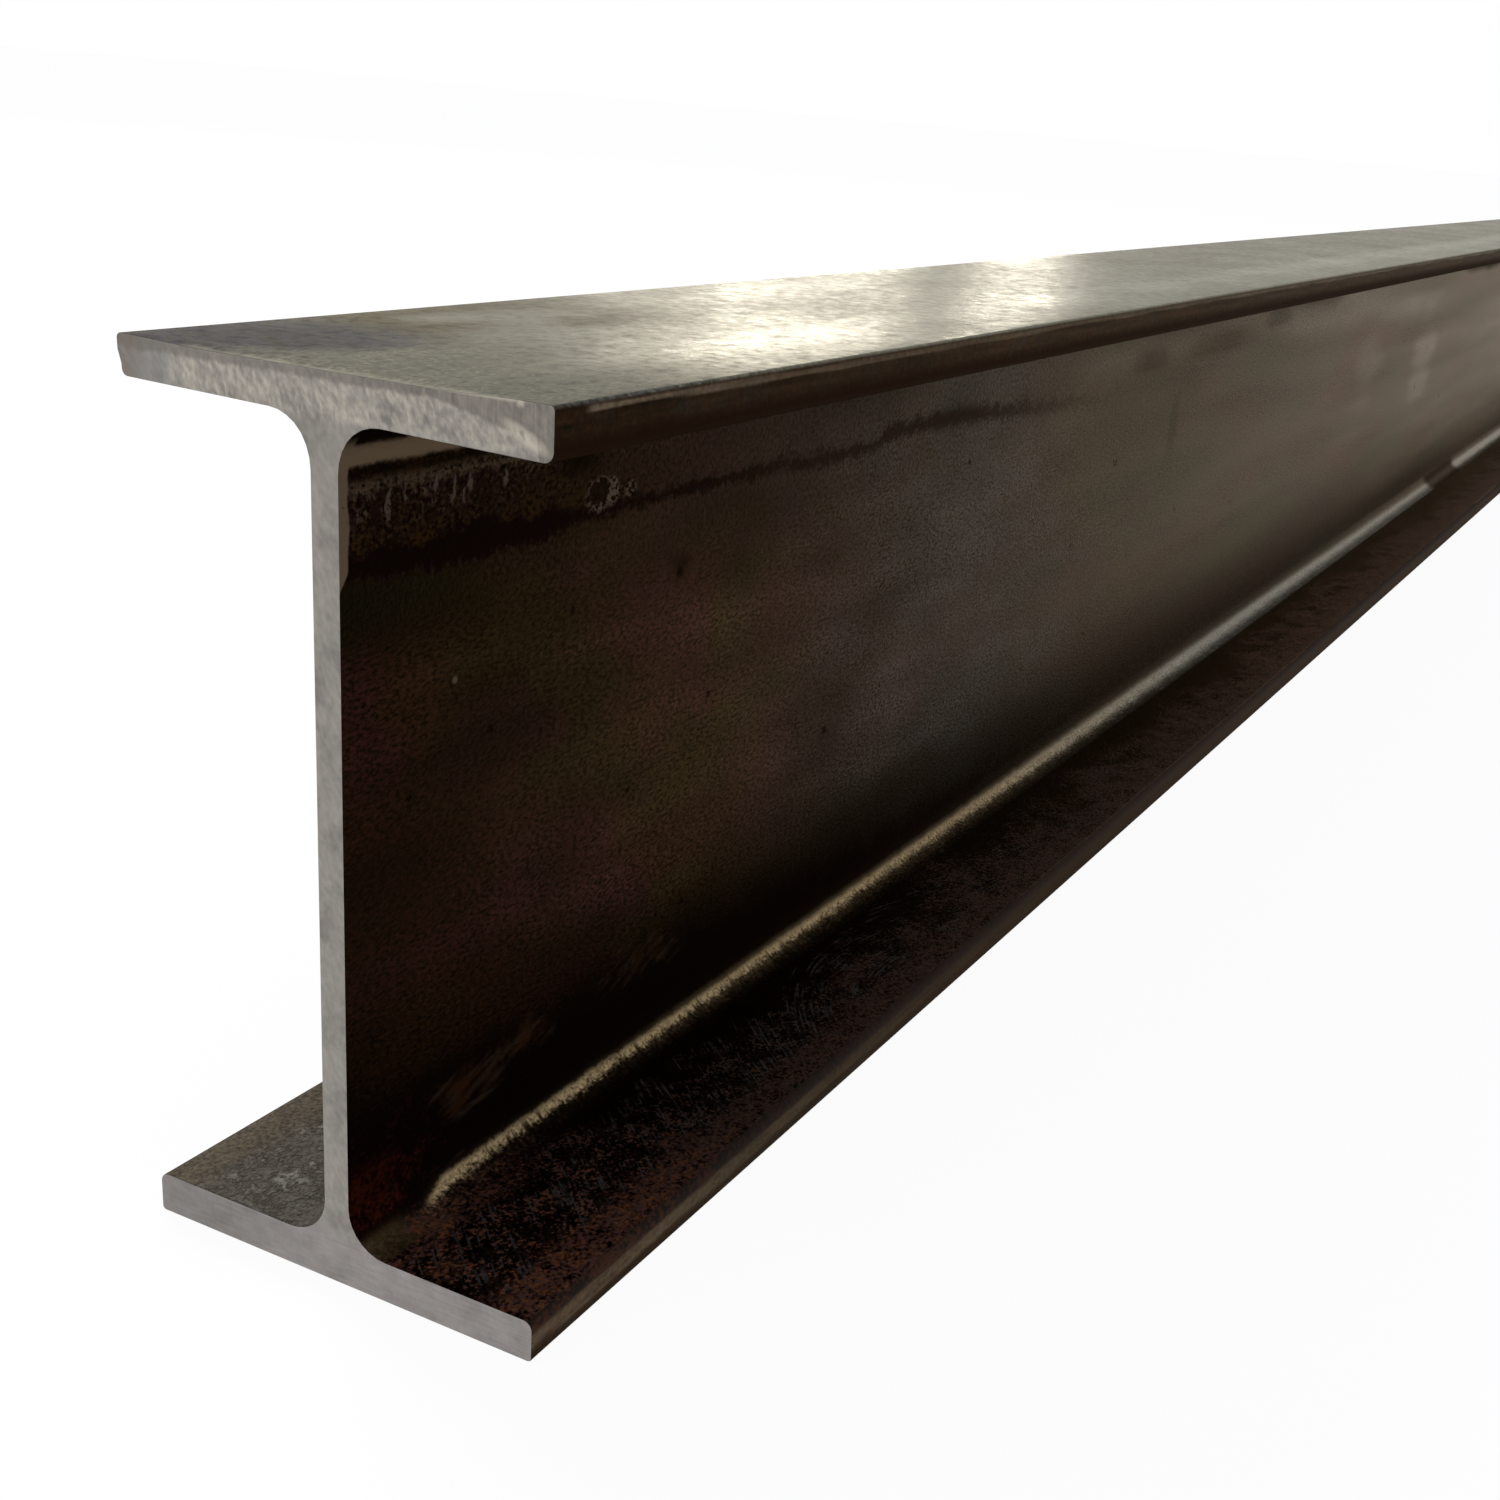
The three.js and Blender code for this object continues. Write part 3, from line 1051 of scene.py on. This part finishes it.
# the toes' colours, and the top's
toe_brown = (0.0350, 0.0150, 0.0066)
toe_plum = (0.0300, 0.0195, 0.0132)
# wear low on the lower toe, and a painted highlight along the upper toe's top arris, palest beside the near
# cut
toe_wear_and_highlight = (0.088, 0.058, 0.037)
arris_highlight = (0.186, 0.138, 0.098)
arris_grey = (0.130, 0.124, 0.108)
scuff_dark = (0.016, 0.015, 0.014)

# a scuff on the top beside the near cut: its two ends, as distances from the cut and across the beam
scuff_start = (0.6 * mm, 4.5 * mm)
scuff_end = (14 * mm, 22 * mm)


def lay_scuff(skin, lump):
    """A scuff on the top, straight from one end to the other."""
    g, at = skin.graph, skin.at
    run = scuff_end[0] - scuff_start[0]
    slope = (scuff_end[1] - scuff_start[1]) / run
    wobble = (skin.blot * 9 + lump * 4) * mm
    off_line = at.y - scuff_start[1] - (at.from_saw - scuff_start[0]) * slope + wobble
    before_end = g.step(at.from_saw, scuff_end[0] + 2 * mm, scuff_end[0])
    scuff = g.step(abs(off_line), 2.4 * mm, 0.6 * mm) * before_end * at.on_top
    patchy = g.step(lump + skin.grain * 0.4, -0.08, 0.10)
    skin.lay(scuff * patchy * 0.7, colour=scuff_dark, roughness=0.6, soot=0.3)


def lay_toes(skin):
    """The toes: streaked along the beam. The upper one has a painted highlight along its top arris, palest
    beside the near cut, and painted shade beneath; the lower one is worn low down, rusty above, and darkened
    with painted shade along its bottom edge and away from the near cut."""
    g, at, grain, blot = skin.graph, skin.at, skin.grain, skin.blot
    drawn = g.ripple(skin.place, 1 * mm, 1.0, pull=(0.05, 1, 1))
    toe_hue = g.mix(g.step(blot + drawn * 0.5, -0.02, 0.26), toe_brown, toe_plum)
    skin.lay(at.on_toe, colour=g.scaled(toe_hue, 1 + drawn * 1.8 + grain * 1.5), roughness=0.72)
    above = at.height(60, 80)
    on_lower = at.on_toe * (1 - above)
    # a painted highlight along the upper toe's top arris
    upper_arris = g.band(at.z + drawn * mm, section_height - 1.5 * mm, section_height - 0.6 * mm, 0.3 * mm)
    upper_arris = upper_arris * at.along(6, 9) * 0.8
    lower_band = g.band(at.z + (drawn + blot) * mm, 2.4 * mm, 4.9 * mm, 0.6 * mm)
    lower_band = lower_band * (1 - above) * (1 - at.along(30, 120) * 0.75)
    skin.shade(1 - at.on_toe * (at.along(160, 60) * above) * 0.38)
    wear_and_highlight_hue = g.mix(at.along(70, 16) * above, toe_wear_and_highlight, arris_highlight)
    # the upper arris's painted highlight and the lower toe's worn band
    worn = at.on_toe * g.larger(upper_arris, lower_band) * (0.8 + drawn + grain)
    skin.lay(worn, colour=wear_and_highlight_hue, roughness=0.55)
    skin.shade(1 - on_lower * at.along(15, 60) * 0.28)
    # painted shade along the lower toe's bottom edge
    skin.shade(1 - on_lower * at.height(2.4, 0.8) * 0.4)
    rusty = on_lower * at.front * g.step(at.z + (grain + blot) * mm, 4.7 * mm, 5.4 * mm)
    fading = 1.7 - at.along(20, 75) * 1.1
    rust_hue = g.mix(g.step(grain + blot * 0.6, -0.14, 0.12), soot_black, g.scaled(ledge_umber, fading))
    skin.lay(rusty * 0.9, colour=rust_hue, roughness=0.85, metal=0.25, soot=0.5)
    # painted shade on the lower toe, growing away from the near cut
    skin.lay(on_lower * at.along(30, 260) * 0.62, colour=toe_brown, roughness=0.8, soot=0.55)
    # painted shade on the lower part of the upper toe
    beneath = g.step(at.z + grain * mm, section_height - 2.8 * mm, section_height - 5.8 * mm) * above
    skin.lay(at.on_toe * beneath * 0.85, colour=toe_brown, roughness=0.8, soot=0.62)


def outside_scale():
    """The outer faces: dusty scale burnished by handling on top, and the toes."""
    skin = scale_ground(
        "outside_scale",
        edge_tint=top_edge_tint,
        grain_size=(1.1 * mm, 0.8 * mm, 0.8 * mm),
        grain_shade=2.6,
        grain_height=0.03 * mm,
    )
    g, at, grain, blot = skin.graph, skin.at, skin.grain, skin.blot
    lump = g.ripple(skin.place, 2.6 * mm, 2.0, 0.6)
    skin.roughness = skin.roughness + at.on_top * (lump * 0.22 + blot * 0.2)
    skin.height = skin.height + at.on_top * lump * 0.06 * mm
    handled = at.along(110, 20) * at.on_top
    skin.shade(1 + handled * (grain * 3.0 + lump * 2.2))
    skin.lay(handled * g.step(lump + grain * 0.7, 0.02, 0.16), soot=0.28)
    lay_scuff(skin, lump)
    # the top's worn arris at the near cut, painted lighter as a highlight
    at_cut = g.step(at.from_saw + blot * 2 * mm, worn_reach * 0.6, 0)
    end_wear_and_highlight = at_cut * g.band(at.y, -30 * mm, 24 * mm, 6 * mm) * at.on_top
    skin.lay(end_wear_and_highlight * 0.7, colour=arris_grey, roughness=0.5)
    lay_toes(skin)
    return skin.done()


# sawn steel's colours
cut_grey = (0.297, 0.276, 0.249)
cut_light = (0.510, 0.462, 0.390)
cut_dark = (0.225, 0.205, 0.190)
cut_dull = (0.180, 0.161, 0.142)
cut_blue = (0.250, 0.242, 0.236)
cut_violet = (0.295, 0.272, 0.266)
cut_stain = (0.190, 0.140, 0.112)

# how far the saw's two sets of scores slant, in radians
score_slants = (0.62, 0.15)

# the glint near the right end of the top flange: its middle (across, down from the top), its half
# length and half height
glint_place = (-32.2 * mm, 4.4 * mm)
glint_half = (3.6 * mm, 1.1 * mm)


def sawn_steel():
    """Bright steel bared by the saw: slanting scores, and a duller band along the top where it broke in."""
    face = Finish("sawn_steel")
    g = face.graph
    y, z = (g.axis(face.place, name) for name in "YZ")
    down = (z - section_height) * -1
    blotch = g.ripple(face.place, 6 * mm, 3.0, 0.6)
    scores = []
    for slant in score_slants:
        scores.append(g.ripple(g.turned(face.place, "X", slant), 0.75 * mm, pull=(1, 1, 0.5)))
    comb = g.ripple(face.place, 0.5 * mm, 1.0, pull=(1, 1, 0.07))
    drag = g.ripple(face.place, 0.5 * mm, 1.0, pull=(1, 0.10, 1))
    lower_flange = g.step(z, 12 * mm, 6 * mm)
    upper_flange = g.step(down, 9 * mm, 7 * mm)
    strokes = scores[0] * 0.7 + scores[1] * 0.6
    strokes = strokes + lower_flange * (drag * 0.6 - strokes * 0.6)

    face.colour = g.mix(g.step(blotch, 0.02, -0.18) * 0.6, cut_grey, cut_dark)
    face.colour = g.mix(lower_flange * 0.7, face.colour, cut_violet)
    face.roughness = 0.42 + strokes * 0.15
    face.metal = 0.92 + strokes * 0.1
    face.height = strokes * 0.014 * mm
    face.shade(1 - lower_flange * g.step(y, 4 * mm, 24 * mm) * 0.15)
    left_end = g.step(y, 24 * mm, 31 * mm) * upper_flange
    face.lay(left_end * 0.7, colour=cut_blue)

    # bright speckled scores, and the duller band above them that deepens to the right
    bright = upper_flange * g.step(y, 30 * mm, 23 * mm) * g.step(down, 7.5 * mm, 6 * mm)
    speckled = bright * g.step(strokes + blotch * 0.3, -0.24, 0.28)
    face.lay(speckled * (0.58 - left_end * 0.22), colour=cut_light)
    face.shade(1 + strokes * 0.7 + blotch * 0.4)
    band_depth = 1.7 * mm + g.larger(y * -1 - 19 * mm, 0) * 0.2
    band_depth = band_depth + g.step(y, -33.6 * mm, -35.4 * mm) * 6 * mm
    uneven = down - (blotch * 1.6 + comb * 0.8) * mm
    dull = g.step(uneven, band_depth + 0.4 * mm, band_depth - 0.4 * mm)
    right = g.step(y, 4 * mm, -14 * mm)
    face.lay(dull * (0.7 + right * 0.1), colour=g.scaled(cut_dull, 1 + comb * right + strokes * 0.4))
    across = (y - glint_place[0]) / glint_half[0]
    over = (down - glint_place[1] + (y - glint_place[0]) * 0.42) / glint_half[1]
    glint = g.step(across * across + over * over + strokes * 2.4, 1.5, -0.1)
    face.lay(glint * 0.8, colour=g.scaled(cut_light, 1.05 + strokes * 1.5), roughness=0.38)

    # dirt in the knocked left end, and a painted highlight along the top arris on the right, ending in a
    # bright spot
    dirt = g.step(y, 30 * mm, 35 * mm) * g.step(blotch + strokes, -0.16, 0.12)
    face.lay(dirt * 0.6 * upper_flange, colour=cut_stain)
    arris = g.step(down, 0.6 * mm, 0.1 * mm) * g.band(y, -31.6 * mm, -19 * mm, 2 * mm)
    spot = g.step(abs(y + 31.4 * mm), 0.9 * mm, 0.2 * mm) * g.step(down, 1.1 * mm, 0.3 * mm)
    face.lay(g.larger(arris * 0.7, spot * 0.8), colour=cut_light)
    return face.done()


# where the bake's map lays things: the skin's two rows, and the cuts' column beside them
map_crowding = 0.62  # below 1, more of a row goes to what is near its cut
skin_column = (0.004, 0.858)
cut_column = (0.870, 0.996)
map_rows = ((0.004, 0.488), (0.506, 0.990))


def between(ends, share):
    return ends[0] + (ends[1] - ends[0]) * share


def lay_bake_map(mesh):
    """Unrolls the skin into two rows, the near half and the far half, each with the most room for its cut,
    and lays the cuts beside them. Baked pictures then keep the fine marks near the cuts."""
    around = [item.value for item in mesh.attributes["around"].data]
    corners = mesh.uv_layers.new(name="OFBake").uv
    middle = (beam_low[0] + beam_high[0]) / 2
    half = beam_length / 2
    for face in mesh.polygons:
        far = face.center.x > middle
        cut_end = beam_high[0] if far else beam_low[0]
        is_cut = abs(face.normal.x) > cut_facing
        turns = [around[v] for v in face.vertices]
        over_seam = max(turns) - min(turns) > 0.5
        for corner, v, turn in zip(face.loop_indices, face.vertices, turns):
            place = mesh.vertices[v].co
            if is_cut:
                u = between(cut_column, (place.y - beam_low[1]) / flange_width)
                share = (place.z - beam_low[2]) / section_height
            else:
                u = between(skin_column, (abs(place.x - cut_end) / half) ** map_crowding)
                share = turn + (1 if over_seam and turn < 0.5 else 0)
            corners[corner].vector = (u, between(map_rows[far], share))


rolling_sizes = {
    "Length": beam_length,
    "Spacing": point_spacing,
    "Toe spacing": toe_point_spacing,
    "Rings": ring_count,
    "End fineness": end_fineness,
    "Wave height": 0.16 * mm,
    "Nick depth": nick_depth,
    "Flange slope": flange_slope,
    "Flange lift": flange_lift,
    "Worn depth": worn_depth,
}
finishes = {
    "outside": outside_scale(),
    "web": swept_scale(),
    "crust": torn_scale(),
    "lower root": rubbed_scale(),
    "front ledge": front_ledge_scale(),
    "back ledge": back_ledge_scale(),
    "cut": sawn_steel(),
}
beam = grown(
    "rolled_beam",
    section_wire(),
    rolling_group(rolling_sizes, finishes),
    rolling_sizes,
    [("BEVEL", {"width": arris_width, "segments": 2, "limit_method": "ANGLE", "angle_limit": blunted_fold})],
)
lay_bake_map(beam.data)
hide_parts("i_beam")
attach(beam, "root")
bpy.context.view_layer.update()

# ============================================================================
# The studio: a plain pale floor, soft lamps and a white surround.
# ============================================================================


def seen_rays(graph):
    """1 for the rays that carry what the eye sees: straight, mirrored or through something."""
    total = 0
    for kind in ("Is Camera Ray", "Is Glossy Ray", "Is Transmission Ray"):
        total = graph.node("ShaderNodeLightPath", None, None, kind) + total
    return graph.math("MINIMUM", total, 1)


# what the surround lights with, and how the floor looks: its grey, the white that the eye sees there, how
# much of that there is, and how far it reaches
surround_light = (0.55, 0.555, 0.57)
floor_grey = (0.8, 0.8, 0.8, 1)
floor_white = 1.06
floor_whitened = 0.88
floor_reach = 30

world = bpy.data.worlds.new("white_surround")
bpy.context.scene.world = world
world.use_nodes = True
g = Graph(world.node_tree)
surround = g.mix(seen_rays(g), surround_light, (1, 1, 1))
g.tree.links.new(surround.socket, world.node_tree.nodes["Background"].inputs["Color"])

floor_mesh = bpy.data.meshes.new("floor")
floor_corners = [(x * floor_reach, y * floor_reach, 0) for x, y in ((-1, -1), (1, -1), (1, 1), (-1, 1))]
floor_mesh.from_pydata(floor_corners, [], [(0, 1, 2, 3)])
floor = bpy.data.objects.new("floor", floor_mesh)
bpy.context.scene.collection.objects.link(floor)
floor_finish = bpy.data.materials.new("pale_floor")
floor_finish.use_nodes = True
g = Graph(floor_finish.node_tree)
floor_finish.node_tree.nodes.remove(floor_finish.node_tree.nodes["Principled BSDF"])
matte = g.node("ShaderNodeBsdfDiffuse", None, {"Color": floor_grey})
white = g.node("ShaderNodeEmission", None, {"Color": (1, 1, 1, 1), "Strength": floor_white})
both = g.node("ShaderNodeMixShader", None, {"Fac": seen_rays(g) * floor_whitened, 1: matte, 2: white})
g.tree.links.new(both.socket, floor_finish.node_tree.nodes["Material Output"].inputs["Surface"])
floor_mesh.materials.append(floor_finish)


def softbox(name, place, target, width, height, power, colour=(1, 1, 1)):
    """A rectangular lamp at place that faces target. It lights the beam but isn't seen itself."""
    lamp = bpy.data.lights.new(name, "AREA")
    lamp.color = colour
    lamp.shape = "RECTANGLE"
    lamp.size = width
    lamp.size_y = height
    lamp.energy = power
    holder = bpy.data.objects.new(name, lamp)
    bpy.context.scene.collection.objects.link(holder)
    holder.location = place
    holder.rotation_euler = (Vector(target) - Vector(place)).to_track_quat("-Z", "Y").to_euler()
    holder.visible_camera = False


# what the windows shine on, and what they have in common
shine_spot = (near_cut + 0.12, 0, section_height)
window_distance = 2.4
window_height = 0.3
window_warmth = (1.0, 0.96, 0.86)


def window(name, azimuth, elevation, width, power):
    """A warm softbox that the shine on the top reflects, at a bearing from +X and a height above the
    horizon, in degrees."""
    turn, rise = math.radians(azimuth), math.radians(elevation)
    away = Vector((math.cos(turn) * math.cos(rise), math.sin(turn) * math.cos(rise), math.sin(rise)))
    place = Vector(shine_spot) + away * window_distance
    softbox(name, place, shine_spot, width, window_height, power, window_warmth)


softbox("key_softbox", place=(0.6, 2.6, 2.4), target=(-0.4, 0, 0.1), width=2.0, height=1.4, power=60)
window("wide_window", azimuth=27.7, elevation=6, width=0.26, power=2.3)
window("side_window", azimuth=32.6, elevation=6.4, width=0.24, power=0.75)
window("narrow_window", azimuth=20.6, elevation=5, width=0.12, power=1.2)

# the camera stands close to the near cut, a little above the top flange
camera_place = (near_cut - 0.18893, -0.16935, section_height + 0.03687)
camera_turn = (70.0166, -4.5755, -63.1697)  # degrees
camera_data = bpy.data.cameras.new("camera")
camera = bpy.data.objects.new("camera", camera_data)
bpy.context.scene.collection.objects.link(camera)
bpy.context.scene.camera = camera
camera.location = camera_place
camera.rotation_euler = [math.radians(angle) for angle in camera_turn]
camera_data.sensor_width = 36
camera_data.lens = 44.7
camera_data.shift_x = -0.068
camera_data.shift_y = 0.02333
camera_data.clip_start = 0.01
camera_data.clip_end = 100

bpy.context.scene.view_settings.view_transform = "Standard"
